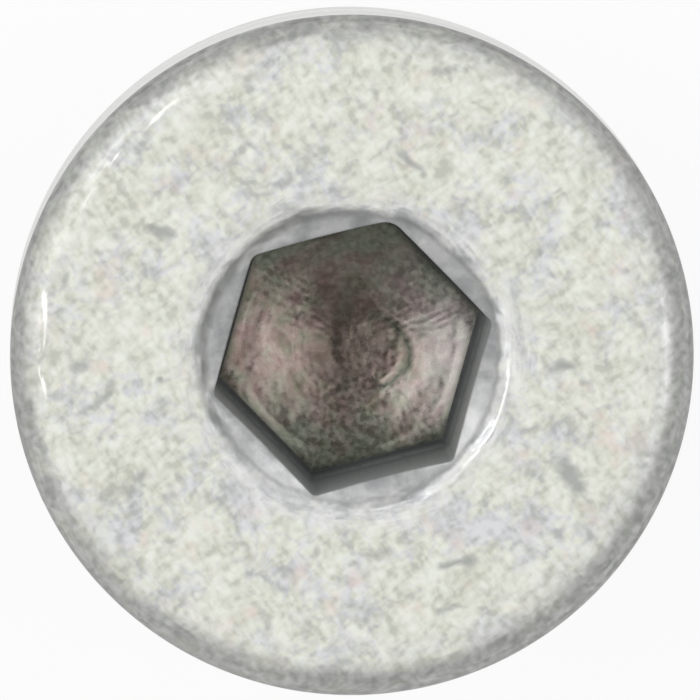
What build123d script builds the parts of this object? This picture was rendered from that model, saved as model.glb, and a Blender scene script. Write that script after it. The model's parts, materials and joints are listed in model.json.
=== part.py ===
from build123d import *
import math
import os

# Oil drain plug M14 x 1.5: a disc head with a hexagon socket, a neck and a short shank.
# Millimetres, +Z up along the axis. The origin is the middle of the shank's flat end, on which
# the plug stands head up. Two corners of the hexagon lie on the X axis.

# Head
head_diameter = 22.0
head_height = 5.0
head_edge_radius = 1.2  # rolls the face over into the side
seat_chamfer = 0.3  # round the outside of the sealing face

# Countersink round the socket's mouth
countersink_diameter = 9.7
countersink_angle = 90.0
countersink_edge_radius = 0.8  # rolls the face over into the countersink

# Hexagon socket
key_size = 8.0  # across the key's flats
key_clearance = 0.03  # between the key and each flat of the socket
socket_depth = 5.0  # from the face down to the foot of the walls
socket_corner_radius = 0.3
socket_floor_radius = 0.25

# Floor of the socket, as the punch leaves it: a shallow cone, and a flat dimple in its middle
dish_diameter = 7.0
dish_angle = 157.0  # between opposite sides of the cone
dimple_diameter = 2.8
dimple_depth = 0.1
dimple_wall_slope = 60.0  # degrees from the flat

# Shank, plain here, at the diameter over the thread's crests
thread_diameter = 14.0
crest_allowance = 0.05  # by which the crests' radius is less than the nominal one
shank_length = 13.0  # below the sealing face
end_chamfer = 1.1

# Neck between the sealing face and the thread
neck_depth = 1.1  # below the crests
neck_length = 2.8  # its cone included
neck_fillet = 0.4

head_radius = head_diameter / 2
shank_radius = thread_diameter / 2 - crest_allowance
neck_radius = shank_radius - neck_depth
seat_height = shank_length
face_height = seat_height + head_height
thread_top = seat_height - neck_length  # here the neck's cone meets the crests

socket_apothem = key_size / 2 + key_clearance
countersink_radius = countersink_diameter / 2
countersink_depth = (countersink_radius - socket_apothem) / math.tan(math.radians(countersink_angle / 2))

floor_height = face_height - socket_depth
dish_radius = dish_diameter / 2
dimple_radius = dimple_diameter / 2
dish_depth = (dish_radius - dimple_radius) / math.tan(math.radians(dish_angle / 2))
dimple_floor_radius = dimple_radius - dimple_depth / math.tan(math.radians(dimple_wall_slope))

# The plug is one forging: a turned outline, with the socket punched into its head.
with BuildPart() as drain_plug:
    with BuildSketch(Plane.XZ):
        with BuildLine():
            Polyline(
                (0, 0),
                (shank_radius - end_chamfer, 0),
                (shank_radius, end_chamfer),
                (shank_radius, thread_top),
                (neck_radius, thread_top + neck_depth),
                (neck_radius, seat_height),
                (head_radius - seat_chamfer, seat_height),
                (head_radius, seat_height + seat_chamfer),
                (head_radius, face_height),
                (countersink_radius, face_height),
                (socket_apothem, face_height - countersink_depth),
                (0, face_height - countersink_depth),
                close=True,
            )
        make_face()
    revolve(axis=Axis.Z)

    face_circles = drain_plug.edges().filter_by_position(Axis.Z, face_height, face_height)
    mouth_rim, head_rim = face_circles.sort_by(SortBy.RADIUS)
    fillet(head_rim, head_edge_radius)
    fillet(mouth_rim, countersink_edge_radius)
    seat_circles = drain_plug.edges().filter_by_position(Axis.Z, seat_height, seat_height)
    fillet(seat_circles.sort_by(SortBy.RADIUS)[0], neck_fillet)

    # Hexagon socket
    with BuildSketch(Plane.XY.offset(face_height)):
        RegularPolygon(socket_apothem, side_count=6, major_radius=False)
        fillet(vertices(), socket_corner_radius)
    extrude(amount=-socket_depth, mode=Mode.SUBTRACT)
    fillet(edges(Select.LAST).group_by(Axis.Z)[0], socket_floor_radius)

    # Dish and dimple of the floor, cut as one more turned outline
    with BuildSketch(Plane.XZ):
        with BuildLine():
            Polyline(
                (0, floor_height),
                (dish_radius, floor_height),
                (dimple_radius, floor_height - dish_depth),
                (dimple_floor_radius, floor_height - dish_depth - dimple_depth),
                (0, floor_height - dish_depth - dimple_depth),
                close=True,
            )
        make_face()
    revolve(axis=Axis.Z, mode=Mode.SUBTRACT)

os.makedirs("parts", exist_ok=True)
drain_plug.part.label = "drain_plug"
export_step(drain_plug.part, "parts/drain_plug.step")
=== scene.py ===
import json
import math

import bpy
import numpy as np
from mathutils import Matrix, Vector


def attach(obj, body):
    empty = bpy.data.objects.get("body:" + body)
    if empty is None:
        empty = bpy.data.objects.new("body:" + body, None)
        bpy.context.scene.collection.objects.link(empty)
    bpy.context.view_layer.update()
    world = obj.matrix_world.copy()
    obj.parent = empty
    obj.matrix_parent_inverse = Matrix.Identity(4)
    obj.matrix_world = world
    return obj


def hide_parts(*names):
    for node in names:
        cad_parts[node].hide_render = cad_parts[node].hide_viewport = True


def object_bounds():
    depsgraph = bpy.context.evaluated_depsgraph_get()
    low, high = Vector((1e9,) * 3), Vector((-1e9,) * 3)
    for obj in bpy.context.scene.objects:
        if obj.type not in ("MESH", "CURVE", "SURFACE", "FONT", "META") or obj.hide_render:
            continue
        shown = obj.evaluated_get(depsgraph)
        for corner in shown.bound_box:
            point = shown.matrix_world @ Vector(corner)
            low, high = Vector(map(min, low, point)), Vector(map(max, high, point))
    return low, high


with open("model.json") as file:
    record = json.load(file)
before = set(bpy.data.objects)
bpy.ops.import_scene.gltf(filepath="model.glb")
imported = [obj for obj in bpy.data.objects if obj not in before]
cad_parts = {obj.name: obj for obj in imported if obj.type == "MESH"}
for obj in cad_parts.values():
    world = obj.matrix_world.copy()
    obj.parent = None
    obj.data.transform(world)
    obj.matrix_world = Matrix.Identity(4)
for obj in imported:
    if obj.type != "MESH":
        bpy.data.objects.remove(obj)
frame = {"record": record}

# Oil drain plug M14 x 1.5, seen on its head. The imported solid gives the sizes, and this script makes
# the finished surface: the true thread, the punched socket, the pale zinc coating and the studio.
# Shapes are worked out in millimetres and put into the mesh in metres.

cadLow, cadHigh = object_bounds()
mm = 0.001
mounts = {mount["name"]: mount for mount in frame["record"]["mounts"]}
headRadius = cadHigh.x / mm
faceHeight = cadHigh.z / mm
seatHeight = mounts["sealing_face"]["pos_m"][2] / mm
crestRadius = mounts["thread_shank"]["dims"]["r_mm"]
threadMiddle = mounts["thread_shank"]["pos_m"][2] / mm
threadHalf = mounts["thread_shank"]["dims"]["length_mm"] / 2
chamferTop = threadMiddle - threadHalf
threadTop = threadMiddle + threadHalf
print("frame read: head", round(2 * headRadius, 2), "mm across, plug", round(faceHeight, 2), "mm high")

view = {
    "turn": 14.3,  # degrees from the view's right to the model's +X
    "tilt": 6.0,  # from the plug's axis
    "tiltTurn": 104.0,  # where the camera stands, degrees from the view's right
    "distance": 400.0,
    "width": 22.52,  # what the view spans at the head's edge
    "shift": (-0.0030, 0.0080),
}
viewRight = Vector((1, 0, 0))
viewRight.rotate(Matrix.Rotation(-math.radians(view["turn"]), 3, "Z"))
viewUp = Vector((-viewRight.y, viewRight.x, 0))

# The plug's sizes in millimetres. Right and up are the view's.
plug = {
    "columns": 288,  # round the axis, a multiple of 6
    "cornerGather": 0.6,  # how far the columns crowd at the hexagon's corners, 0 to 1
    "edgeRadius": 1.2,  # face to side
    "seatChamfer": 0.3,
    "seatBreak": 0.05,  # how far the chamfer's two edges are rounded
    "socketApothem": 4.0,
    "socketDepth": 5.0,
    "cornerRadii": (0.3, 0.66, 0.36, 0.26, 0.24, 0.28),  # of the six corners, from +X round
    "floorRadius": 0.25,
    "rimRadius": 0.14,  # wall to countersink
    "dishRadius": 3.7,
    "dishSlope": 11.0,  # degrees
    "dishSoftness": 0.6,  # how gently the dish runs out to the walls
    "pocketRadius": 1.42,  # nearly flat pocket in the dish, off its middle
    "pocketBand": (1.2, 2.2),  # from the axis, where the pocket's edge runs
    "pocketDepth": 0.53,  # below the foot of the walls
    "pocketTilt": 0.1,  # how fast it rises to the right
    "pocketPlace": (0.5, -0.4),  # right and up
    "pocketSoftness": 0.06,
    "pocketWallWidth": 0.42,  # on its right, and 1 mm more on its left
    "countersinkRadius": 4.85,
    "countersinkDepth": 0.82,  # at the middle of each flat
    "countersinkSoftness": 0.2,  # how gently the face rolls over into the cone
    "countersinkLip": (4.5, 4.8, 0.03),  # a steeper step in the cone: from, to and drop
    "lipBand": (0.28, 0.9),  # how far inside and outside the countersink's edge it rolls over
    "pitch": 1.5,
    "threadDepth": 0.92,
    "crestSoftness": 0.08,
    "rootSoftness": 0.3,
    "neckRadius": 5.85,
    "neckFillet": 0.4,
}

# Rows of points in each surface, from the middle of the floor outwards and down
rowCounts = {
    "dish": (14, 30, 17),  # inside the pocket's edge, across it and outside it
    "band": 10,  # from circles to the hexagon
    "foot": 6,
    "wall": 12,
    "rim": 5,
    "cone": 10,
    "lip": 28,
    "face": 42,
    "edge": 16,
    "side": 10,
    "seat": 12,
    "fillet": 6,
    "end": 14,
}

# What the punch, the press and use left on it, in millimetres
wear = {
    "pocketWander": 0.08,  # how far the pocket's edge strays
    "ringPitch": 0.5,  # rings left by the punch on the floor
    "ringHeight": 0.004,
    "innerStep": (1.7, 1.88, 0.012),  # on the floor's left: from, to and height
    "outerStep": (2.4, 2.58, 0.008),  # here and there: from, to and height
    "stepEnd": (2.6, 3.6),  # where both steps fade out
    "grainHeight": 0.0034,
    "swellDepth": 0.010,  # long swells of the face
    "hammerDepth": 0.005,
    "markDepth": 0.012,
    "bulges": ((235.0, 0.12), (145.0, 0.15)),  # of the countersink: degrees from the right, how far
    "lipWander": 0.05,  # how far the countersink's edge strays elsewhere
    "collarDepth": 0.022,  # ring pressed down round the countersink
    "collarMiddle": 0.15,  # outside the countersink's edge
    "collarWidth": 0.4,
    "ripplePitch": 0.26,
    "rippleDepth": 0.009,
    # Where the painted shade at the walls' foot lies
    "cornerShadeBand": (0.2, 0.17),  # in from the walls' foot, and its width
}

# Rubbed and dented places of the face: right, up, slant in degrees, half length, half width, strength
faceMarks = (
    (7.0, -3.8, -60, 0.75, 0.30, 1.0),
    (6.7, -0.25, 8, 0.50, 0.17, 0.9),
    (7.45, -0.75, -50, 0.60, 0.12, 0.6),
    (7.4, -1.8, 0, 0.20, 0.15, 0.5),
    (3.3, -6.6, 12, 0.70, 0.15, 0.9),
    (-6.1, 4.1, -18, 0.50, 0.19, 0.9),
    (-9.2, 2.6, 70, 0.35, 0.15, 0.7),
    (-8.2, 3.5, 0, 0.25, 0.12, 0.5),
    (-8.7, -0.2, 20, 0.40, 0.24, 0.6),
    (-8.1, -1.3, 28, 0.65, 0.11, 0.7),
    (-6.25, -0.6, 0, 0.15, 0.11, 0.8),
    (-6.8, -3.8, 35, 0.35, 0.15, 0.8),
    (-7.5, -4.3, 20, 0.70, 0.28, 0.4),
    (1.9, 6.3, -40, 0.60, 0.15, 0.8),
    (0.7, 8.5, 0, 0.14, 0.18, 0.6),
    (3.1, 9.3, 8, 0.70, 0.14, 0.7),
    (6.4, 7.9, -30, 0.40, 0.17, 0.6),
    (6.0, 3.5, 80, 0.20, 0.12, 0.6),
    (-1.2, -6.2, 80, 0.30, 0.15, 0.6),
    (0.9, -6.3, 10, 0.55, 0.18, 0.6),
    (0.3, -8.5, 0, 0.28, 0.17, 0.8),
    (3.0, -8.1, 15, 0.45, 0.14, 0.6),
    (0.0, 10.4, 0, 0.90, 0.25, 0.6),
    (-9.65, -4.1, 70, 0.20, 0.15, 0.6),
)


def hexRadius(angle, apothem, cornerRadius):
    # Distance from the axis to a hexagon with round corners at 0, 60, 120 ... degrees: the apothem
    # over the cosine on the flats, and the far side of the corner's own circle near a corner.
    fromCorner = np.abs((angle + math.pi / 6) % (math.pi / 3) - math.pi / 6)
    toCircle = (apothem - cornerRadius) / math.cos(math.pi / 6)
    flat = apothem / np.cos(math.pi / 6 - fromCorner)
    inside = np.maximum(cornerRadius**2 - (toCircle * np.sin(fromCorner)) ** 2, 0)
    rounded = toCircle * np.cos(fromCorner) + np.sqrt(inside)
    arcEnd = np.arctan2(cornerRadius / 2, toCircle + cornerRadius * math.cos(math.pi / 6))
    return np.where(fromCorner < arcEnd, rounded, flat)


def flatDistance(x, y):
    # How far out a point lies towards the nearest flat of the same hexagon: the radius times the
    # cosine of its angle from that flat's middle.
    fromCorner = np.abs((np.arctan2(y, x) + math.pi / 6) % (math.pi / 3) - math.pi / 6)
    return np.hypot(x, y) * np.cos(math.pi / 6 - fromCorner)


def smoothMin(a, b, width):
    # The lesser of a and b, with a parabola of the given width where they cross.
    blend = np.clip(0.5 + 0.5 * (b - a) / width, 0, 1)
    return b + (a - b) * blend - width * blend * (1 - blend)


def smoothStep(low, high, value):
    # 0 below low, 1 above high, and the cubic 3t^2 - 2t^3 between.
    t = np.clip((value - low) / (high - low), 0, 1)
    return t * t * (3 - 2 * t)


def waves(x, y, length, seed, count=28):
    # Sum of plane waves of random direction and phase, their lengths spread about the given one,
    # scaled so that it stays near -1 to 1.
    draw = np.random.default_rng(seed)
    total = np.zeros(np.shape(x))
    for turn, phase, stretch in draw.uniform((0, 0, 0.7), (math.tau, math.tau, 1.5), (count, 3)):
        along = (x * math.cos(turn) + y * math.sin(turn)) / (length * stretch)
        total += np.sin(math.tau * along + phase)
    return total / math.sqrt(count)


def inView(x, y):
    # The same place counted right and up in the view: the two dot products.
    return x * viewRight.x + y * viewRight.y, x * viewUp.x + y * viewUp.y


def markStrength(x, y):
    # Largest of the marks at each point, each one a bell that falls off over its length and width, bent
    # by short waves.
    right, up = inView(x, y)
    right = right + 0.05 * waves(x, y, length=0.7, seed=31)
    up = up + 0.05 * waves(x, y, length=0.7, seed=32)
    total = np.zeros(np.shape(x))
    for markRight, markUp, slant, halfLength, halfWidth, strength in faceMarks:
        c, s = math.cos(math.radians(slant)), math.sin(math.radians(slant))
        along = (right - markRight) * c + (up - markUp) * s
        across = (up - markUp) * c - (right - markRight) * s
        bell = np.exp(-((along / halfLength) ** 4) - (across / halfWidth) ** 2)
        total = np.maximum(total, strength * bell)
    return total


def ringRows(radii, heights):
    # Rows of full circles, one for each radius and height.
    wide = np.ones(plug["columns"])
    return np.outer(radii, wide), np.outer(heights, wide)


def arcRows(middleRadius, middleHeight, radius, start, end, count):
    # Rows of full circles along a round edge: points of an arc in the plane through the axis, its
    # angles in degrees from outwards to up. The end row is left to the next surface.
    turn = np.radians(np.linspace(start, end, count, endpoint=False))
    return ringRows(middleRadius + radius * np.cos(turn), middleHeight + radius * np.sin(turn))


def softRamp(value, softness):
    # The value where it is well above 0, and 0 where it is well below: half the sum of the value and
    # the root of its square and the softness squared.
    return (value + np.sqrt(value**2 + softness**2)) / 2


def coneHeight(radius):
    # Height of the countersink: a cone with a steeper lip, which rolls over softly into the face.
    lipStart, lipEnd, lipDrop = plug["countersinkLip"]
    outer = plug["countersinkRadius"]
    slope = (plug["countersinkDepth"] - lipDrop) / (outer - plug["socketApothem"])
    lip = lipDrop * (1 - smoothStep(lipStart, lipEnd, radius))
    return faceHeight - slope * softRamp(outer - radius, plug["countersinkSoftness"]) - lip


def floorDepth(radius):
    # Depth of the dish below the foot of the walls: a cone that runs out softly at its edge.
    slope = math.tan(math.radians(plug["dishSlope"]))
    return slope * softRamp(plug["dishRadius"] - radius, plug["dishSoftness"])


def socketSurface(angle, cornerRadius):
    # Floor, foot, walls and rim of the socket. On the floor the rows are circles that turn into the
    # hexagon, and from there each row is the hexagon drawn in by the foot's or the rim's rounding.
    apothem, foot = plug["socketApothem"], plug["floorRadius"]
    ground = faceHeight - plug["socketDepth"]
    wallRadius = hexRadius(angle, apothem, cornerRadius)
    innerRadius = hexRadius(angle, apothem - foot, np.maximum(cornerRadius - foot, 0.02))

    bandStart, bandEnd = plug["pocketBand"]
    inside, across, outside = rowCounts["dish"]
    steps = np.concatenate([
        np.linspace(0, bandStart, inside), np.linspace(bandStart, bandEnd, across)[1:],
        np.linspace(bandEnd, plug["dishRadius"] - 0.2, outside)[1:],
    ])
    dish = ringRows(steps, ground - floorDepth(steps))

    share = np.linspace(0, 1, rowCounts["band"])[1:-1, None]
    bandRadius = steps[-1] + (innerRadius - steps[-1]) * share
    band = bandRadius, ground - floorDepth(bandRadius) + floorDepth(innerRadius) * share

    turn = np.linspace(0, math.pi / 2, rowCounts["foot"])[:, None]
    footRadius = innerRadius + (wallRadius - innerRadius) * np.sin(turn)
    footArc = footRadius, ground + foot * (1 - np.cos(turn)) + 0 * footRadius

    rim = coneHeight(wallRadius)
    tangent = plug["rimRadius"] * math.tan(math.pi / 8)
    rise = np.linspace(0, 1, rowCounts["wall"])[1:, None]
    wallHeight = ground + foot + (rim - tangent - ground - foot) * rise
    wall = wallRadius + 0 * wallHeight, wallHeight

    turn = np.linspace(0, math.pi / 4, rowCounts["rim"])[1:, None]
    rimRadius = wallRadius + plug["rimRadius"] * (1 - np.cos(turn))
    rimHeight = rim - tangent + plug["rimRadius"] * np.sin(turn)
    return dish, band, footArc, wall, (rimRadius, rimHeight)


def countersinkSurface(rimRadius):
    # From the hexagonal rim out across the cone and its soft edge: the rows turn from the hexagon
    # into circles on the way. At the hexagon's corners the cone is at least 0.1 mm wide.
    inside, outside = plug["lipBand"]
    middle, outer = plug["countersinkRadius"] - inside, plug["countersinkRadius"] + outside
    share = np.linspace(0, 1, rowCounts["cone"])[1:, None]
    cone = rimRadius + (np.maximum(middle, rimRadius + 0.1) - rimRadius) * share
    edge = cone[-1] + (outer - cone[-1]) * np.linspace(0, 1, rowCounts["lip"])[1:, None]
    return (cone, coneHeight(cone)), (edge, coneHeight(edge))


def headSurface():
    # Face, round edge, side, chamfer, sealing face and the fillet into the neck. A close row beside
    # each turn keeps the shading from bleeding across it.
    edge = plug["edgeRadius"]
    inner = plug["countersinkRadius"] + plug["lipBand"][1]
    flat = headRadius - edge
    faceRadii = np.concatenate([np.linspace(inner + 0.08, flat - 0.06, rowCounts["face"]), [flat]])
    face = ringRows(faceRadii, coneHeight(faceRadii))
    rolled = arcRows(flat, faceHeight - edge, edge, 86, 0, rowCounts["edge"])

    chamfer, soft = plug["seatChamfer"], plug["seatBreak"]
    sideTop = faceHeight - edge
    sideHeights = np.concatenate([
        [sideTop, sideTop - 0.1],
        np.linspace(sideTop - 0.3, seatHeight + chamfer + 0.12, rowCounts["side"]),
    ])
    side = ringRows(np.full(len(sideHeights), headRadius), sideHeights)
    breakRadii = headRadius - np.array([
        0, soft / 2, chamfer - soft / 2, chamfer + soft / 2, chamfer + 2 * soft,
    ])
    breakHeights = seatHeight + np.array([chamfer + soft, chamfer - soft / 2, soft / 2, 0, 0])
    corner = ringRows(breakRadii, breakHeights)

    fillet = plug["neckFillet"]
    hollowRadius = plug["neckRadius"] + fillet
    seatRadii = np.linspace(headRadius - chamfer - 0.25, hollowRadius, rowCounts["seat"])
    seat = ringRows(seatRadii, np.full(len(seatRadii), seatHeight))
    hollow = arcRows(hollowRadius, seatHeight - fillet, fillet, 100, 180, rowCounts["fillet"])
    neck = ringRows(np.full(3, plug["neckRadius"]), np.linspace(seatHeight - fillet, neckFoot, 3))
    return face, rolled, side, corner, seat, hollow, neck


neckFoot = threadTop + crestRadius - plug["neckRadius"]  # where the neck's cylinder ends
# Rows of one turn of the thread, in millimetres along the axis from the middle of a crest
turnRows = np.array([0.05, 0.13, 0.32, 0.52, 0.65, 0.75, 0.85, 0.98, 1.18, 1.37, 1.45])


def threadSurface(angle):
    # Thread: each row follows the helix, one pitch up for one turn, and its radius is the crest's
    # less the depth of a 60 degree groove, held inside the end's chamfer and the neck's cone.
    pitch = plug["pitch"]
    turns = math.ceil(neckFoot / pitch) + 2
    down = (np.arange(turns)[:, None] * pitch + turnRows).ravel()[:, None]
    height = neckFoot + 0.3 - down + pitch * angle / math.tau
    fromCrest = np.abs((down + pitch / 2) % pitch - pitch / 2) + 0 * angle
    flank = (fromCrest - pitch / 16) * math.sqrt(3)
    raised = -smoothMin(-flank, 0 * flank, plug["crestSoftness"])
    groove = smoothMin(raised, plug["threadDepth"], plug["rootSoftness"])
    endCone = crestRadius - chamferTop + height
    neckCone = crestRadius + threadTop - height
    radius = smoothMin(crestRadius - groove, np.minimum(endCone, neckCone), 0.06)
    return radius, height


def endSurface():
    # The shank's flat end, in to its middle.
    rim = crestRadius - chamferTop
    radii = np.concatenate([[rim, rim - 0.06], np.linspace(rim - 0.3, 0, rowCounts["end"])])
    return ringRows(radii, np.zeros(len(radii)))


def socketRelief(x, y):
    # Height added to the floor: a pocket that fills the dish's point and cuts a low step into it on the
    # right, rings left by the punch, two steps part of the way round, and a coarse grain.
    right, up = inView(x, y)
    radius = np.hypot(x, y)
    pocketRight, pocketUp = plug["pocketPlace"]
    dish = -floorDepth(radius)
    pocket = plug["pocketTilt"] * (right - pocketRight) - plug["pocketDepth"]
    filled = -smoothMin(-dish, -pocket, plug["pocketSoftness"])
    fromPocket = np.hypot(right - pocketRight, up - pocketUp)
    edge = plug["pocketRadius"] + wear["pocketWander"] * waves(x, y, length=1.4, seed=5)
    rightwards = smoothStep(-0.1, 0.6, (right - pocketRight) / np.maximum(fromPocket, 0.1))
    width = plug["pocketWallWidth"] + (1 - rightwards)
    inside = 1 - smoothStep(edge - width, edge, fromPocket)
    sunk = filled - dish - np.maximum(filled - pocket, 0) * inside

    ringPhase = math.tau * radius / wear["ringPitch"] + 4 * waves(x, y, length=2.2, seed=6)
    rings = np.sin(ringPhase) * np.clip(waves(x, y, length=1.6, seed=7), 0, 1)
    leftwards = smoothStep(0, 0.7, -(0.95 * right + 0.3 * up) / np.maximum(radius, 0.1))
    start, end, innerHeight = wear["innerStep"]
    inner = smoothStep(start, end, radius + 0.1 * waves(x, y, length=1.0, seed=8)) * leftwards
    start, end, outerHeight = wear["outerStep"]
    outer = smoothStep(start, end, radius + 0.1 * waves(x, y, length=1.3, seed=11))
    outer = outer * (0.5 + 0.5 * waves(x, y, length=2.5, seed=12))
    fade = 1 - smoothStep(*wear["stepEnd"], radius)
    coarse, fine = waves(x, y, length=0.6, seed=9), waves(x, y, length=0.27, seed=10, count=60)
    grain = 0.5 * coarse + 0.6 * fine
    steps = (innerHeight * inner + outerHeight * outer) * fade
    return sunk + wear["ringHeight"] * rings + steps + wear["grainHeight"] * grain


def sinkBulge(x, y):
    # How much further out the countersink's edge lies: a bell round each bulge's direction, and waves.
    right, up = inView(x, y)
    total = wear["lipWander"] * waves(x, y, length=2.4, seed=24)
    for turn, size in wear["bulges"]:
        c, s = math.cos(math.radians(turn)), math.sin(math.radians(turn))
        towardsBulge = (right * c + up * s) / np.maximum(np.hypot(x, y), 0.1)
        total = total + size * np.exp((towardsBulge - 1) / 0.25)
    return total


def faceRelief(x, y, rimRadius):
    # Depth taken off the face: long swells, short hammering and the marks, all fading out down the
    # cone, then the countersink's uneven edge and a rippled collar round it.
    radius = np.hypot(x, y)
    swell = wear["swellDepth"] * (1 + waves(x, y, length=3.4, seed=21))
    hammer = wear["hammerDepth"] * (1 + waves(x, y, length=0.8, seed=22))
    shallow = np.clip(swell, 0, None) + np.clip(hammer, 0, None)
    shallow = shallow + wear["markDepth"] * markStrength(x, y)

    clear = smoothStep(rimRadius + 0.02, rimRadius + 0.4, radius)
    widened = coneHeight(radius) - coneHeight(radius - sinkBulge(x, y) * clear)
    middle = plug["countersinkRadius"] + wear["collarMiddle"]
    collar = np.exp(-(((radius - middle) / wear["collarWidth"]) ** 2)) * clear
    ripplePhase = math.tau * radius / wear["ripplePitch"] + 3 * waves(x, y, length=1.6, seed=25)
    ripple = np.sin(ripplePhase) * waves(x, y, length=1.3, seed=23)
    uneven = (wear["collarDepth"] + wear["rippleDepth"] * ripple) * collar
    return shallow * smoothStep(-0.5, 0.5, radius - rimRadius) + widened + uneven


def plugRows():
    # Every surface in turn, as rows of points round the axis from the middle of the floor to the middle
    # of the shank's end: x, y and height, each row's finish, and where the thread's rows are.
    columns = plug["columns"]
    even = np.arange(columns) * math.tau / columns
    gathered = even - plug["cornerGather"] * np.sin(6 * even) / 6
    nearest = np.round(gathered / (math.pi / 3)).astype(int) % 6
    cornerRadius = np.array(plug["cornerRadii"])[nearest]

    socket = socketSurface(gathered, cornerRadius)
    rimRadius = socket[-1][0][-1]
    sink = countersinkSurface(rimRadius)
    head = headSurface()
    surfaces = [*socket, *sink, *head, threadSurface(even), endSurface()]
    socketFinishes, headFinishes = ["floor"] * 2 + ["wall"] * 2 + ["face"], ["face"] * 2 + ["side"] * 2
    finishes = [*socketFinishes, "face", "face", *headFinishes, "seat", "seat", "seat", "thread", "seat"]
    radius = np.vstack([r for r, h in surfaces])
    height = np.vstack([h + 0 * r for r, h in surfaces])
    counts = [len(r) for r, h in surfaces]
    rowFinish = np.repeat(finishes, counts)

    # Columns crowd at the corners in the socket only, and even out across the face.
    toFace = sum(counts[:len(socket) + len(sink)])
    faceRows = len(head[0][0])
    gather = np.zeros(len(radius))
    gather[:toFace] = 1
    gather[toFace:toFace + faceRows] = np.linspace(1, 0, faceRows)
    angle = even + (gathered - even) * gather[:, None]
    x, y = radius * np.cos(angle), radius * np.sin(angle)

    onFloor, onFace = rowFinish == "floor", rowFinish == "face"
    height[onFloor] += socketRelief(x[onFloor], y[onFloor])
    # The face's relief fades in from 1.1 to 0.1 mm below it.
    lowered = faceRelief(x[onFace], y[onFace], rimRadius)
    height[onFace] -= lowered * smoothStep(faceHeight - 1.1, faceHeight - 0.1, height[onFace])
    threadStart = sum(counts[:-2])
    return x, y, height, rowFinish, slice(threadStart, threadStart + counts[-2])


def weaveFaces(height, rowFinish, threadRows):
    # Faces between neighbouring rows and columns: the points in use, the faces by their numbers, and
    # each face's finish. Thread rows past the neck or the end fall on the ring there, and the last
    # column meets the first one a whole turn of rows further up.
    rows, columns = height.shape
    index = np.arange(rows * columns).reshape(rows, columns)
    above, below = index[threadRows.start - 1], index[threadRows.stop]
    reach = 0.02  # how near to the neck or the end a thread row counts as past it
    thread = np.where(height[threadRows] >= neckFoot - reach, above, index[threadRows])
    index[threadRows] = np.where(height[threadRows] <= reach, below, thread)
    index[0] = index[0, 0]
    index[-1] = index[-1, 0]
    seam = index[:, 0].copy()
    perTurn = len(turnRows)
    seam[threadRows] = np.concatenate([np.full(perTurn, above[0]), seam[threadRows][:-perTurn]])
    index = np.column_stack([index, seam])

    quads = np.stack([index[:-1, :-1], index[1:, :-1], index[1:, 1:], index[:-1, 1:]], -1).reshape(-1, 4)
    quadFinish = np.repeat(rowFinish[:-1], columns)
    same = quads == np.roll(quads, -1, axis=1)
    whole = same.sum(1) == 0
    pinched = same.sum(1) == 1
    # A quad with one pair of equal corners is a triangle: the other three corners in order.
    shift = (np.argmax(same[pinched], 1)[:, None] + np.arange(1, 4)) % 4
    triangles = np.take_along_axis(quads[pinched], shift, 1)
    used, flat = np.unique(np.concatenate([quads[whole].ravel(), triangles.ravel()]), return_inverse=True)
    inQuads = 4 * int(whole.sum())
    faces = flat[:inQuads].reshape(-1, 4).tolist() + flat[inQuads:].reshape(-1, 3).tolist()
    return used, faces, np.concatenate([quadFinish[whole], quadFinish[pinched]])


def makePlug():
    x, y, height, rowFinish, threadRows = plugRows()
    used, faces, faceFinish = weaveFaces(height, rowFinish, threadRows)
    points = np.column_stack([x.ravel()[used], y.ravel()[used], height.ravel()[used]])
    mesh = bpy.data.meshes.new("drainPlug")
    mesh.from_pydata((points * mm).tolist(), [], faces)
    mesh.polygons.foreach_set("use_smooth", np.ones(len(faces), bool))

    # The finishes read how strongly a point is marked, on the face, and how near it lies to the painted
    # shade at the walls' foot, a bell across the distance from the walls.
    onTop = smoothStep(faceHeight - 1.0, faceHeight - 0.3, points[:, 2])
    stain = mesh.attributes.new("mark", "FLOAT", "POINT")
    stain.data.foreach_set("value", markStrength(points[:, 0], points[:, 1]) * onTop)
    toWall = plug["socketApothem"] - flatDistance(points[:, 0], points[:, 1])
    corner = mesh.attributes.new("corner", "FLOAT", "POINT")
    shadePlace, shadeWidth = wear["cornerShadeBand"]
    corner.data.foreach_set("value", np.exp(-(((toWall - shadePlace) / shadeWidth) ** 2)))
    mesh.update()
    piece = bpy.data.objects.new("drainPlug", mesh)
    bpy.context.scene.collection.objects.link(piece)
    print("plug made:", len(points), "points,", sum(map(len, faces)) - 2 * len(faces), "triangles")
    return piece, faceFinish


def linear(code):
    # sRGB hex to linear red, green, blue and alpha.
    parts = [int(code[i:i + 2], 16) / 255 for i in (1, 3, 5)]
    return [c / 12.92 if c < 0.04045 else ((c + 0.055) / 1.055) ** 2.4 for c in parts] + [1]


def addNode(tree, kind, inputs=None, stops=None, **settings):
    # Adds one node. Settings are its own properties. Inputs go by the name or number of the socket
    # in use, and each is a number, a hex colour, an output, or a node for its first output in use.
    # Stops are a ramp's places and hex colours, from its lowest place up.
    node = tree.nodes.new("ShaderNode" + kind)
    for name, value in settings.items():
        setattr(node, name, value)
    for key, value in (inputs or {}).items():
        live = [socket for socket in node.inputs if socket.enabled]
        socket = live[key] if isinstance(key, int) else next(s for s in live if s.name == key)
        if isinstance(value, bpy.types.Node):
            value = next(output for output in value.outputs if output.enabled)
        if isinstance(value, bpy.types.NodeSocket):
            tree.links.new(value, socket)
        else:
            socket.default_value = linear(value) if isinstance(value, str) else value
    for number, (place, code) in enumerate(stops or ()):
        ramp = node.color_ramp.elements
        if number == 0:
            ramp.remove(ramp[1])
        stop = ramp.new(place) if number else ramp[0]
        stop.position, stop.color = place, linear(code)
    return node


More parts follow.
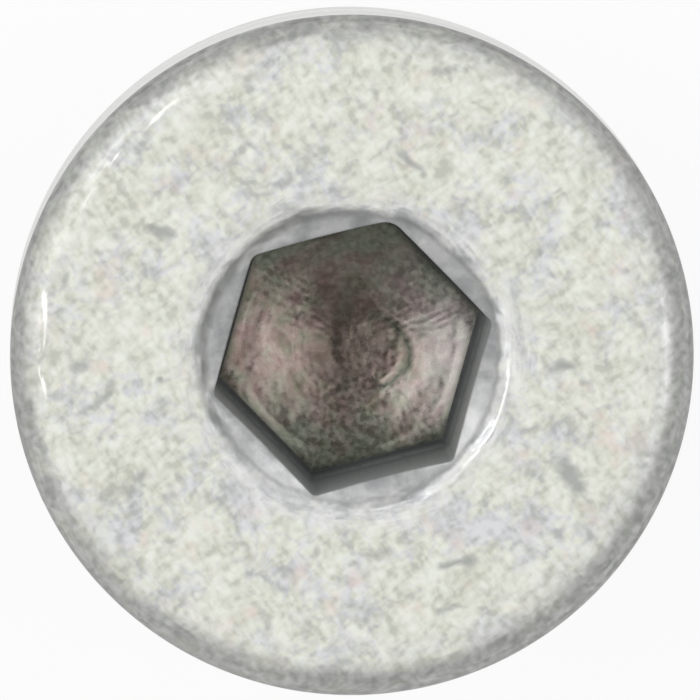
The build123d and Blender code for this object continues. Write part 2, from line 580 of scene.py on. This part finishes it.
def newFinish(name, metallic):
    # A material, its node tree, and its Object coordinates counted in millimetres.
    material = bpy.data.materials.new(name)
    material.use_nodes = True
    tree = material.node_tree
    tree.nodes["Principled BSDF"].inputs["Metallic"].default_value = metallic
    place = addNode(tree, "TexCoord").outputs["Object"]
    return material, tree, addNode(tree, "Mapping", {"Vector": place, "Scale": (1000, 1000, 1000)})


def roundAxis(tree, place, turns):
    # The radius, and coordinates for a pattern that runs round the axis: the place over its radius
    # and 0.7 mm more, which keeps the middle from pinching, times the given number, with the radius
    # less the height as the third.
    flat = addNode(tree, "VectorMath", {0: place, 1: (1, 1, 0)}, operation="MULTIPLY")
    radius = addNode(tree, "VectorMath", {0: flat}, operation="LENGTH")
    spread = addNode(tree, "Math", {0: radius, 1: 0.7}, operation="ADD")
    shrink = addNode(tree, "Math", {0: turns, 1: spread}, operation="DIVIDE")
    facing = addNode(tree, "VectorMath", {0: flat, "Scale": shrink}, operation="SCALE")
    height = addNode(tree, "SeparateXYZ", {0: place}).outputs["Z"]
    outAndDown = addNode(tree, "Math", {0: radius, 1: height}, operation="SUBTRACT")
    upright = addNode(tree, "CombineXYZ", {"Z": outAndDown})
    return radius, addNode(tree, "VectorMath", {0: facing, 1: upright}, operation="ADD")


def towardsSide(tree, place, turn):
    # How far a point lies towards the given direction, in degrees from the view's right.
    turned = addNode(tree, "Mapping", {
        "Vector": place, "Rotation": (0, 0, math.radians(view["turn"] - turn)),
    })
    return addNode(tree, "SeparateXYZ", {0: turned}).outputs["X"]


def lineWhere(tree, value, middle, halfWidth, strength):
    # A line where the value passes its middle: the strength there, falling to 0 at the half width.
    offset = addNode(tree, "Math", {0: value, 1: middle}, operation="SUBTRACT")
    away = addNode(tree, "Math", {0: offset}, operation="ABSOLUTE")
    return addNode(tree, "MapRange", {
        "Value": away, "From Max": halfWidth, "To Min": strength, "To Max": 0,
    })


def layOver(tree, base, *layers):
    # Lays each layer's colour over what is below it, by the layer's own share from 0 to 1.
    for share, colour in layers:
        base = addNode(tree, "Mix", {"Factor": share, "A": base, "B": colour}, data_type="RGBA")
    return base


def wireShader(tree, colour, roughness, height, depth):
    # Joins colour, roughness and a bump of the given depth in millimetres to the material's shader.
    shader = tree.nodes["Principled BSDF"]
    bump = addNode(tree, "Bump", {"Height": height, "Distance": depth * mm, "Strength": 1.0})
    for name, node in (("Base Color", colour), ("Roughness", roughness), ("Normal", bump)):
        tree.links.new(next(output for output in node.outputs if output.enabled), shader.inputs[name])


# The face's coat: its colours from low to high noise, where it is worn, and its painted shade and
# highlights. Places are millimetres from the axis, with the noise's swing added on, and sides are degrees
# from the view's right.
faceCoat = {
    "pale": ((0.38, "#C8CABE"), (0.46, "#DADCD0"), (0.54, "#E5E7DC"), (0.62, "#EDEFE6")),
    "bluish": ((0.4, "#B4B5B9"), (0.58, "#DCDCE2")),
    "pinkish": "#E6D4CC",
    "knocked": "#A9ABA8",
    "bruised": ((0.38, "#B9BABC"), (0.48, "#D6D6D8"), (0.6, "#EDEDEB")),
    # The rubbed grey and the dark steel under it also paint the edge's shade
    "rubbed": ((0.4, "#ACAEA8"), (0.48, "#C2C3BF"), (0.58, "#DCDDDA")),
    "bareSteelAndShade": ((0.4, "#676867"), (0.6, "#939493")),
    "wiped": ((0.4, "#BEBFC0"), (0.6, "#EAEAEA")),
    # Painted shade in the countersink's corner
    "countersinkShade": "#838581",
    # Near-white of the painted highlight lines on the burnished edge and lip
    "paintedHighlight": "#F0F0EC",
    "collarPlace": {"From Min": 7.2, "From Max": 6.5, "To Max": 0.7},
    "conePlace": {"From Min": 6.5, "From Max": 6.2},
    "rubbedPlace": {"From Min": 12.5, "From Max": 14.0},
    "barePlace": {"From Min": 13.5, "From Max": 14.9, "To Max": 0.8},
    "footShadePlace": {"From Min": 10.5, "From Max": 11.0, "To Max": 0.9},
    "rubbedAndShadedSide": (-40, {"From Min": 2.0, "From Max": 9.0, "To Max": 0.6}),
    "footShadeSide": 120,
    "countersinkShadeRadius": 4.93,
    "countersinkShadeSide": (145, {"From Min": 1.5, "From Max": 4.5}),
    "highlightLineRadius": 10.7,
    "highlightLineSide": (165, {"From Min": 7, "From Max": 8.6}),
    "lipHighlightRadius": 5.16,
    "lipHighlightSide": (-22, {"From Min": 4.4, "From Max": 4.8}),
}


def towardsShare(tree, place, side):
    # Share from 0 to 1, or to its own top, over a range of distances towards one side.
    turn, reach = side
    return addNode(tree, "MapRange", {"Value": towardsSide(tree, place, turn), **reach})


def flakeTones(tree, place):
    # Flakes dry into short bent strokes that lie two ways, 0.2 mm wide and twice as long, over thicker
    # and thinner places a millimetre wide: half of each stroke pattern, then a third of the places.
    bend = addNode(tree, "TexNoise", {"Vector": place, "Scale": 0.9, "Detail": 1})
    bent = addNode(tree, "VectorMath", {
        0: bend.outputs["Color"], 1: (0.4, 0.4, 0.4), 2: place,
    }, operation="MULTIPLY_ADD")
    strokes = []
    for slant in (20, 110):
        slanted = addNode(tree, "Mapping", {
            "Vector": bent, "Rotation": (0, 0, math.radians(slant)), "Scale": (0.38, 0.22, 0.3),
        }, vector_type="TEXTURE")
        strokes.append(addNode(tree, "TexNoise", {
            "Vector": slanted, "Scale": 1, "Detail": 1.5, "Roughness": 0.4,
        }))
    worms = addNode(tree, "Mix", {"Factor": 0.5, "A": strokes[0], "B": strokes[1]})
    drifts = addNode(tree, "TexNoise", {"Vector": place, "Scale": 1.3, "Detail": 2, "Roughness": 0.5})
    return worms, addNode(tree, "Mix", {"Factor": 0.35, "A": worms, "B": drifts})


def coatColour(tree, place, tones):
    # Greenish white, with bluish clouds, pinkish spots and grey knocks laid over it in turn.
    pale = addNode(tree, "ValToRGB", {"Fac": tones}, stops=faceCoat["pale"])
    bluish = addNode(tree, "ValToRGB", {"Fac": tones}, stops=faceCoat["bluish"])
    # Bluish squiggles where the coat is thin, 0.2 mm wide: lines where a coarse noise crosses its
    # middle, kept inside clouds
    thin = addNode(tree, "TexNoise", {
        "Vector": place, "Scale": 0.55, "Detail": 3, "Roughness": 0.6, "W": 3.1,
    }, noise_dimensions="4D")
    curls = addNode(tree, "TexNoise", {
        "Vector": place, "Scale": 1.5, "Detail": 1.5, "Roughness": 0.5, "Distortion": 0.2, "W": 5.5,
    }, noise_dimensions="4D")
    squiggles = lineWhere(tree, curls, middle=0.5, halfWidth=0.09, strength=0.11)
    thinner = addNode(tree, "Math", {0: thin, 1: squiggles}, operation="ADD")
    thinShare = addNode(tree, "MapRange", {
        "Value": thinner, "From Min": 0.53, "From Max": 0.68, "To Max": 0.75,
    })
    # Pinkish spots, half a millimetre
    warm = addNode(tree, "TexNoise", {
        "Vector": place, "Scale": 0.9, "Detail": 2, "Roughness": 0.6, "W": 8.6,
    }, noise_dimensions="4D")
    warmShare = addNode(tree, "MapRange", {
        "Value": warm, "From Min": 0.58, "From Max": 0.74, "To Max": 0.55,
    })
    # Knocks and rubs, their rims broken up by the tones
    mark = addNode(tree, "Attribute", attribute_name="mark").outputs["Fac"]
    ragged = addNode(tree, "Math", {0: tones, 1: -0.8, 2: mark}, operation="MULTIPLY_ADD")
    markShare = addNode(tree, "MapRange", {
        "Value": ragged, "From Min": -0.3, "From Max": 0.4, "To Max": 0.9,
    })
    return layOver(
        tree, pale, (thinShare, bluish), (warmShare, faceCoat["pinkish"]),
        (markShare, faceCoat["knocked"]),
    )


def edgeWearAndShade(tree, place, radius, scuffs, both, broad):
    # Rubbed grey where the edge turns down, more in some places than in others, and worn through to
    # dark steel at its foot. These greys also paint the edge's shade, more on the lower right. Gives the
    # share of the coat that is gone, and the colour under it.
    swung = addNode(tree, "Math", {0: broad, 1: 1.4, 2: radius}, operation="MULTIPLY_ADD")
    outwards = addNode(tree, "Math", {0: both, 1: 4.4, 2: swung}, operation="MULTIPLY_ADD")
    leaned = addNode(tree, "Math", {
        0: towardsShare(tree, place, faceCoat["rubbedAndShadedSide"]), 1: outwards,
    }, operation="ADD")
    outer = addNode(tree, "MapRange", {"Value": leaned, **faceCoat["rubbedPlace"]})
    greys = addNode(tree, "ValToRGB", {"Fac": scuffs}, stops=faceCoat["rubbed"])
    patchy = addNode(tree, "MapRange", {"Value": outwards, **faceCoat["barePlace"]})
    footShadeSide = towardsSide(tree, place, faceCoat["footShadeSide"])
    footAt = addNode(tree, "Math", {0: footShadeSide, 1: 0.006, 2: radius}, operation="MULTIPLY_ADD")
    foot = addNode(tree, "MapRange", {"Value": footAt, **faceCoat["footShadePlace"]})
    bareAndShade = addNode(tree, "Math", {0: patchy, 1: foot}, operation="MAXIMUM")
    steel = addNode(tree, "ValToRGB", {"Fac": scuffs}, stops=faceCoat["bareSteelAndShade"])
    return outer, layOver(tree, greys, (bareAndShade, steel))


def countersinkCornerShade(tree, place, radius, streaks):
    # Painted shade in the corner where the cone meets the face: a broken dark ring, wider, darker and
    # further out on the upper left.
    side = towardsShare(tree, place, faceCoat["countersinkShadeSide"])
    broken = addNode(tree, "Math", {0: streaks, 1: 0.5, 2: radius}, operation="MULTIPLY_ADD")
    shifted = addNode(tree, "Math", {0: side, 1: -0.22, 2: broken}, operation="MULTIPLY_ADD")
    width = addNode(tree, "MapRange", {"Value": side, "To Min": 0.12, "To Max": 0.34})
    strength = addNode(tree, "MapRange", {"Value": side, "To Min": 0.35, "To Max": 0.8})
    return lineWhere(tree, shifted, faceCoat["countersinkShadeRadius"], width, strength)


def burnishAndHighlightLines(tree, place, radius, streaks, broad):
    # Burnished in thin broken lines where the edge begins to turn, on the side that has been knocked, and
    # along the countersink's lip on the right, their near-white colour a painted highlight.
    linePlace = addNode(tree, "Math", {0: broad, 1: 1.4, 2: radius}, operation="MULTIPLY_ADD")
    line = lineWhere(tree, linePlace, faceCoat["highlightLineRadius"], halfWidth=0.09, strength=0.8)
    gaps = addNode(tree, "MapRange", {"Value": streaks, "From Min": 0.47, "From Max": 0.53})
    side = towardsShare(tree, place, faceCoat["highlightLineSide"])
    part = addNode(tree, "Math", {0: gaps, 1: side}, operation="MULTIPLY")
    onEdge = addNode(tree, "Math", {0: line, 1: part}, operation="MULTIPLY")
    lipPlace = addNode(tree, "Math", {0: streaks, 1: 0.3, 2: radius}, operation="MULTIPLY_ADD")
    lipLine = lineWhere(tree, lipPlace, faceCoat["lipHighlightRadius"], halfWidth=0.08, strength=0.7)
    lipHighlightSide = towardsShare(tree, place, faceCoat["lipHighlightSide"])
    onLip = addNode(tree, "Math", {0: lipLine, 1: lipHighlightSide}, operation="MULTIPLY")
    return addNode(tree, "Math", {0: onEdge, 1: onLip}, operation="MAXIMUM")


def zincFlakeFace():
    # Zinc flake coating, dipped and baked on cold forged steel: matt, pale and cloudy with a breath
    # of green, with bluish and pinkish clouds, and rubbed to plain grey on edges and knocks, with painted
    # shade on the edge and in the countersink's corner, and painted highlight lines.
    material, tree, place = newFinish("zincFlakeFace", 0.3)
    worms, tones = flakeTones(tree, place)
    # Streaks round the axis, 0.3 mm wide and about 1.5 mm long
    radius, ring = roundAxis(tree, place, 1.6)
    streaks = addNode(tree, "TexNoise", {
        "Vector": ring, "Scale": 3.0, "Detail": 3, "Roughness": 0.6, "Distortion": 0.3,
    })
    # A pale bruised collar round the countersink, whose cone is wiped smoother by the punch
    ragged = addNode(tree, "TexNoise", {"Vector": place, "Scale": 1.2, "Detail": 4, "Roughness": 0.65})
    inwards = addNode(tree, "Math", {0: ragged, 1: 3.0, 2: radius}, operation="MULTIPLY_ADD")
    collar = addNode(tree, "MapRange", {"Value": inwards, **faceCoat["collarPlace"]})
    bruised = addNode(tree, "ValToRGB", {"Fac": streaks}, stops=faceCoat["bruised"])
    both = addNode(tree, "Mix", {"Factor": 0.6, "A": ragged, "B": streaks})
    inner = addNode(tree, "MapRange", {"Value": inwards, **faceCoat["conePlace"]})
    wiped = addNode(tree, "ValToRGB", {"Fac": both}, stops=faceCoat["wiped"])
    # The edge, in patches 3 mm wide
    broad = addNode(tree, "TexNoise", {"Vector": place, "Scale": 0.3, "Detail": 2, "Roughness": 0.6})
    scuffs = addNode(tree, "Mix", {"Factor": 0.5, "A": worms, "B": both})
    outer, wornAndShaded = edgeWearAndShade(tree, place, radius, scuffs, both, broad)
    countersinkShade = countersinkCornerShade(tree, place, radius, streaks)
    burnishAndHighlight = burnishAndHighlightLines(tree, place, radius, streaks, broad)
    base = layOver(
        tree, coatColour(tree, place, tones), (collar, bruised), (outer, wornAndShaded), (inner, wiped),
        (countersinkShade, faceCoat["countersinkShade"]), (burnishAndHighlight, faceCoat["paintedHighlight"]),
    )
    # Smoother and more metallic where it is rubbed, and most of all where it is burnished
    rubbed = addNode(tree, "Math", {0: outer, 1: inner}, operation="MAXIMUM")
    matt = addNode(tree, "MapRange", {"Value": rubbed, "To Min": 0.62, "To Max": 0.38})
    rough = addNode(tree, "Mix", {"Factor": burnishAndHighlight, "A": matt, "B": 0.24})
    dull = addNode(tree, "MapRange", {"Value": rubbed, "To Min": 0.3, "To Max": 0.5})
    shine = addNode(tree, "Mix", {"Factor": burnishAndHighlight, "A": dull, "B": 0.9})
    tree.links.new(shine.outputs["Result"], tree.nodes["Principled BSDF"].inputs["Metallic"])
    wireShader(tree, base, rough, worms, 0.008)
    return material


def zincFlakeSide(name, low, middle, high, roughness):
    # The same coating on turned or rolled steel: smoother and more silvery, with lines round the axis.
    material, tree, place = newFinish(name, 0.8)
    # Tool lines 0.12 mm apart, drawn coarser than the real 0.05 mm
    along = addNode(tree, "Mapping", {"Vector": place, "Scale": (0.12, 0.12, 8)})
    lines = addNode(tree, "TexNoise", {"Vector": along, "Scale": 1, "Detail": 3})
    worms = addNode(tree, "TexNoise", {
        "Vector": place, "Scale": 4.4, "Detail": 3, "Roughness": 0.6, "Distortion": 0.8,
    })
    both = addNode(tree, "Mix", {"Factor": 0.6, "A": worms, "B": lines})
    colour = addNode(tree, "ValToRGB", {"Fac": both}, stops=((0.36, low), (0.5, middle), (0.64, high)))
    rough = addNode(tree, "MapRange", {
        "Value": worms, "From Min": 0.3, "From Max": 0.7,
        "To Min": roughness - 0.06, "To Max": roughness + 0.06,
    })
    wireShader(tree, colour, rough, both, 0.004)
    return material


# The socket's steel: its colours from low to high noise, and where each film and each painted shade lies.
# Places are millimetres, with the noise's swing added on.
socketSteel = {
    "brown": ((0.32, "#645A54"), (0.45, "#746A65"), (0.55, "#817873"), (0.68, "#9A928C")),
    "tints": ((0.38, "#FFF0F3"), (0.5, "#FFFBF7"), (0.62, "#E9F6E4")),
    "silvery": ((0.3, "#7A7678"), (0.7, "#9C979C")),
    # Painted shade in the middle, then along the pocket's step
    "middleShade": "#483F39",
    "stepShade": "#363931",
    # Greenish oil, which also paints the shade at the floor's upper and lower ends
    "oilAndShade": ((0.3, "#53584C"), (0.5, "#5E6458"), (0.7, "#6E7467")),
    "tide": "#B9BCAE",
    # Painted shade in the corner at the walls' foot
    "cornerShade": "#363932",
    "filmAndSheenPlace": {"From Min": 3.0, "From Max": 5.5, "To Max": 0.5},  # rightwards
    "middleShadePlace": {"From Min": 3.8, "From Max": 1.7, "To Max": 0.85},  # inwards
    "oilAndShadePlace": {"From Min": 9.5, "From Max": 13.3, "To Max": 0.85},  # outwards, up and down
    # The walls' painted shade: darker towards the foot, paler towards the rim, and darkest in the corner
    # at the foot
    "wall": ((0.0, "#6A6D6C"), (0.22, "#969A99"), (0.6, "#9DA1A0"), (0.9, "#A8ACAB")),
    "foot": "#1D1F1D",
}


def punchedSteel():
    # Bare steel upset by the punch: brown and dull from its phosphate, with arcs rubbed round it and
    # greenish oil in patches towards the walls, painted shade in the middle, along the pocket's step, at
    # the upper and lower ends and in the corners at the walls, and a film that paints the lit right side
    # paler.
    material, tree, place = newFinish("punchedSteel", 0.9)
    radius, ring = roundAxis(tree, place, 1.5)
    # Arcs 0.3 mm wide, and grain 0.2 mm wide
    arcs = addNode(tree, "TexNoise", {"Vector": ring, "Scale": 3.0, "Detail": 1, "Roughness": 0.4})
    grain = addNode(tree, "TexNoise", {"Vector": place, "Scale": 5.4, "Detail": 1, "Roughness": 0.4})
    mixed = addNode(tree, "Mix", {"Factor": 0.5, "A": arcs, "B": grain})
    brown = addNode(tree, "ValToRGB", {"Fac": mixed}, stops=socketSteel["brown"])
    # Tinged pink and green in turn, half a millimetre wide
    hue = addNode(tree, "TexNoise", {
        "Vector": place, "Scale": 1.6, "Detail": 2, "Roughness": 0.5, "W": 6.4,
    }, noise_dimensions="4D")
    tint = addNode(tree, "ValToRGB", {"Fac": hue}, stops=socketSteel["tints"])
    tinged = addNode(tree, "Mix", {
        "Factor": 1, "A": brown, "B": tint,
    }, data_type="RGBA", blend_type="MULTIPLY")
    patches = addNode(tree, "TexNoise", {
        "Vector": place, "Scale": 0.8, "Detail": 2, "Roughness": 0.5, "W": 2.2,
    }, noise_dimensions="4D")
    # A film of coating on the right side, which also paints that lit side paler and less brown
    turned = addNode(tree, "Mapping", {
        "Vector": place, "Rotation": (0, 0, math.radians(view["turn"])),
    })
    sideways = addNode(tree, "SeparateXYZ", {0: turned})
    filmAt = addNode(tree, "Math", {
        0: patches, 1: 4.0, 2: sideways.outputs["X"],
    }, operation="MULTIPLY_ADD")
    filmAndSheen = addNode(tree, "MapRange", {"Value": filmAt, **socketSteel["filmAndSheenPlace"]})
    silvery = addNode(tree, "ValToRGB", {"Fac": mixed}, stops=socketSteel["silvery"])
    # Painted shade in the middle, darker towards the axis
    middleShadeAt = addNode(tree, "Math", {0: patches, 1: 2.4, 2: radius}, operation="MULTIPLY_ADD")
    middleShade = addNode(tree, "MapRange", {"Value": middleShadeAt, **socketSteel["middleShadePlace"]})
    # Painted shade along the pocket's step on its right side
    pocketRight, pocketUp = plug["pocketPlace"]
    fromPocket = addNode(tree, "VectorMath", {
        0: turned, 1: (1, 1, 0), 2: (-pocketRight, -pocketUp, 0),
    }, operation="MULTIPLY_ADD")
    pocketSpan = addNode(tree, "VectorMath", {0: fromPocket}, operation="LENGTH")
    stepPlace = addNode(tree, "Math", {0: patches, 1: pocketSpan}, operation="ADD")
    stepLine = lineWhere(tree, stepPlace, plug["pocketRadius"] + 0.4, halfWidth=0.26, strength=1)
    stepRight = addNode(tree, "SeparateXYZ", {0: fromPocket}).outputs["X"]
    stepSide = addNode(tree, "MapRange", {"Value": stepRight, "From Min": -0.1, "From Max": 0.7})
    stepShare = addNode(tree, "Math", {0: stepLine, 1: stepSide}, operation="MULTIPLY")
    # Oil in broken arcs from half way out, most of it at the upper and lower ends, where it also paints
    # the shade there
    ends = addNode(tree, "Math", {0: sideways.outputs["Y"]}, operation="ABSOLUTE")
    streaked = addNode(tree, "Mix", {"Factor": 0.4, "A": patches, "B": arcs})
    oilOut = addNode(tree, "Math", {0: streaked, 1: 12.0, 2: radius}, operation="MULTIPLY_ADD")
    oilAt = addNode(tree, "Math", {0: ends, 1: 0.9, 2: oilOut}, operation="MULTIPLY_ADD")
    oilAndShade = addNode(tree, "MapRange", {"Value": oilAt, **socketSteel["oilAndShadePlace"]})
    greens = addNode(tree, "ValToRGB", {"Fac": mixed}, stops=socketSteel["oilAndShade"])
    # Thin pale greenish tide lines along the arcs
    tide = lineWhere(tree, arcs, middle=0.5, halfWidth=0.06, strength=0.12)
    tideShare = addNode(tree, "Math", {0: tide, 1: patches}, operation="MULTIPLY")
    # Painted shade in the corner at the foot of the walls
    corner = addNode(tree, "Attribute", attribute_name="corner").outputs["Fac"]
    cornerShare = addNode(tree, "Math", {0: corner, 1: 0.85}, operation="MULTIPLY")
    base = layOver(
        tree, tinged, (filmAndSheen, silvery), (middleShade, socketSteel["middleShade"]), (stepShare, socketSteel["stepShade"]),
        (oilAndShade, greens), (tideShare, socketSteel["tide"]), (cornerShare, socketSteel["cornerShade"]),
    )
    rough = addNode(tree, "MapRange", {
        "Value": grain, "From Min": 0.3, "From Max": 0.7, "To Min": 0.22, "To Max": 0.34,
    })
    wireShader(tree, base, rough, mixed, 0.003)
    return material


def draggedSteel():
    # Walls wiped smooth by the punch and filmed with thin coating: a matt grey that hides the metal's
    # shine, with upright drag lines 0.2 mm wide, and painted shade: darker towards the foot, paler near
    # the rim and darkest in the corner at the foot.
    material, tree, place = newFinish("draggedSteel", 0.0)
    upright = addNode(tree, "Mapping", {"Vector": place, "Scale": (6, 6, 0.35)})
    drag = addNode(tree, "TexNoise", {"Vector": upright, "Scale": 1, "Detail": 4})
    height = addNode(tree, "SeparateXYZ", {0: place}).outputs["Z"]
    bottom, top = faceHeight - plug["socketDepth"], faceHeight - plug["countersinkDepth"]
    level = addNode(tree, "MapRange", {"Value": height, "From Min": bottom, "From Max": top})
    swung = addNode(tree, "Mix", {"Factor": 0.3, "A": level, "B": drag})
    colour = addNode(tree, "ValToRGB", {"Fac": swung}, stops=socketSteel["wall"])
    corner = addNode(tree, "Attribute", attribute_name="corner").outputs["Fac"]
    low = addNode(tree, "MapRange", {"Value": level, "From Min": 0.3, "From Max": 0.02, "To Max": 1})
    cornerShade = addNode(tree, "Math", {0: corner, 1: low}, operation="MULTIPLY")
    base = layOver(tree, colour, (cornerShade, socketSteel["foot"]))
    rough = addNode(tree, "MapRange", {
        "Value": drag, "From Min": 0.3, "From Max": 0.7, "To Min": 0.45, "To Max": 0.65,
    })
    wireShader(tree, base, rough, drag, 0.005)
    return material


def paintPlug(piece, faceFinish):
    finishes = {
        "floor": punchedSteel(),
        "wall": draggedSteel(),
        "face": zincFlakeFace(),
        "side": zincFlakeSide("zincFlakeRim", "#CACAC8", "#E0E0DE", "#F2F2F0", 0.34),
        "seat": zincFlakeSide("zincFlakeSeat", "#B4B6AF", "#CFD0C9", "#DEDFD8", 0.42),
        "thread": zincFlakeSide("zincFlakeThread", "#A9AAA5", "#C4C5BF", "#D9D9D5", 0.36),
    }
    for material in finishes.values():
        piece.data.materials.append(material)
    sortedNames = sorted(finishes)
    slots = np.array([list(finishes).index(name) for name in sortedNames], np.int32)
    slotOfFace = slots[np.searchsorted(sortedNames, faceFinish)]
    piece.data.polygons.foreach_set("material_index", slotOfFace)
    print("plug painted:", len(finishes), "finishes")


studio = {
    "lamps": {  # turn from the view's right, degrees from straight up, metres away, size, radiance
        "leftBox": (160, 27, 0.6, (0.28, 0.42), 3.5),
        "rightBox": (8, 27, 0.6, (0.26, 0.42), 2.3),
        "leftWindow": (150, 60, 0.8, (0.5, 0.5), 1.1),
        "rightWindow": (60, 58, 0.8, (0.5, 0.5), 1.1),
        "frontBox": (270, 28, 0.6, (0.4, 0.2), 0.33),
        "ceiling": (90, 0, 1.0, (1.2, 1.2), 0.08),
    },
    "roomGrey": 0.28,
    "floorHalf": 0.7,  # half the paper's side, in metres
    "paperGlow": 0.9,  # share of plain white in the floor for the camera and for reflections
}


def towards(turn, fromZenith):
    # Direction given by its turn from the view's right and its angle from straight up.
    a, z = math.radians(turn), math.radians(fromZenith)
    flat = viewRight * math.cos(a) + viewUp * math.sin(a)
    return flat * math.sin(z) + Vector((0, 0, 1)) * math.cos(z)


def aim(thing, position, target, upright):
    # Looks from position at target, with the given direction upwards: its axes are the rows of a
    # turned frame, back, then sideways from upright and back, then up.
    back = (position - target).normalized()
    side = upright.cross(back).normalized()
    turned = Matrix((side, back.cross(side), back)).transposed().to_4x4()
    turned.translation = position
    thing.matrix_world = turned


def makeCamera():
    data = bpy.data.cameras.new("camera")
    data.sensor_width = 36
    data.lens = data.sensor_width * view["distance"] / view["width"]
    data.shift_x, data.shift_y = view["shift"]
    data.clip_start, data.clip_end = 0.01, 10
    camera = bpy.data.objects.new("camera", data)
    bpy.context.scene.collection.objects.link(camera)
    target = Vector((0, 0, (faceHeight - plug["edgeRadius"]) * mm))
    position = target + towards(view["tiltTurn"], view["tilt"]) * view["distance"] * mm
    aim(camera, position, target, viewUp)
    bpy.context.scene.camera = camera


def makeLamps():
    for name, (turn, fromZenith, distance, size, radiance) in studio["lamps"].items():
        data = bpy.data.lights.new(name, "AREA")
        data.shape = "RECTANGLE"
        data.size, data.size_y = size
        data.energy = radiance * math.pi * size[0] * size[1]
        lamp = bpy.data.objects.new(name, data)
        lamp.visible_camera = False
        bpy.context.scene.collection.objects.link(lamp)
        aim(lamp, towards(turn, fromZenith) * distance, Vector((0, 0, 0)), viewUp)
    world = bpy.data.worlds.new("room")
    world.use_nodes = True
    grey = studio["roomGrey"]
    world.node_tree.nodes["Background"].inputs["Color"].default_value = (grey, grey, grey, 1)
    bpy.context.scene.world = world


def whitePaper():
    # Matt white paper: the camera and reflections also see it glow, so that it stays plain white,
    # and it still takes the plug's shadow.
    material = bpy.data.materials.new("whitePaper")
    material.use_nodes = True
    tree = material.node_tree
    shader = tree.nodes["Principled BSDF"]
    shader.inputs["Base Color"].default_value = (0.9, 0.9, 0.9, 1)
    shader.inputs["Roughness"].default_value = 0.9
    ray = addNode(tree, "LightPath")
    seen = addNode(tree, "Math", {
        0: ray.outputs["Is Camera Ray"], 1: ray.outputs["Is Glossy Ray"],
    }, operation="ADD", use_clamp=True)
    share = addNode(tree, "Math", {0: seen.outputs[0], 1: studio["paperGlow"]}, operation="MULTIPLY")
    glow = addNode(tree, "Emission", {"Strength": 1.0})
    mixed = addNode(tree, "MixShader", {0: share.outputs[0], 1: shader.outputs[0], 2: glow.outputs[0]})
    tree.links.new(mixed.outputs[0], tree.nodes["Material Output"].inputs["Surface"])
    return material


def makeFloor():
    half = studio["floorHalf"]
    corners = [(-half, -half, 0), (half, -half, 0), (half, half, 0), (-half, half, 0)]
    mesh = bpy.data.meshes.new("paper")
    mesh.from_pydata(corners, [], [(0, 1, 2, 3)])
    mesh.materials.append(whitePaper())
    paper = bpy.data.objects.new("paper", mesh)
    bpy.context.scene.collection.objects.link(paper)


makeCamera()
makeLamps()
makeFloor()
print("studio ready")

drainPlug, drainPlugFinish = makePlug()
paintPlug(drainPlug, drainPlugFinish)
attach(drainPlug, "root")
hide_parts("drain_plug")

bpy.context.scene.view_settings.view_transform = "Standard"
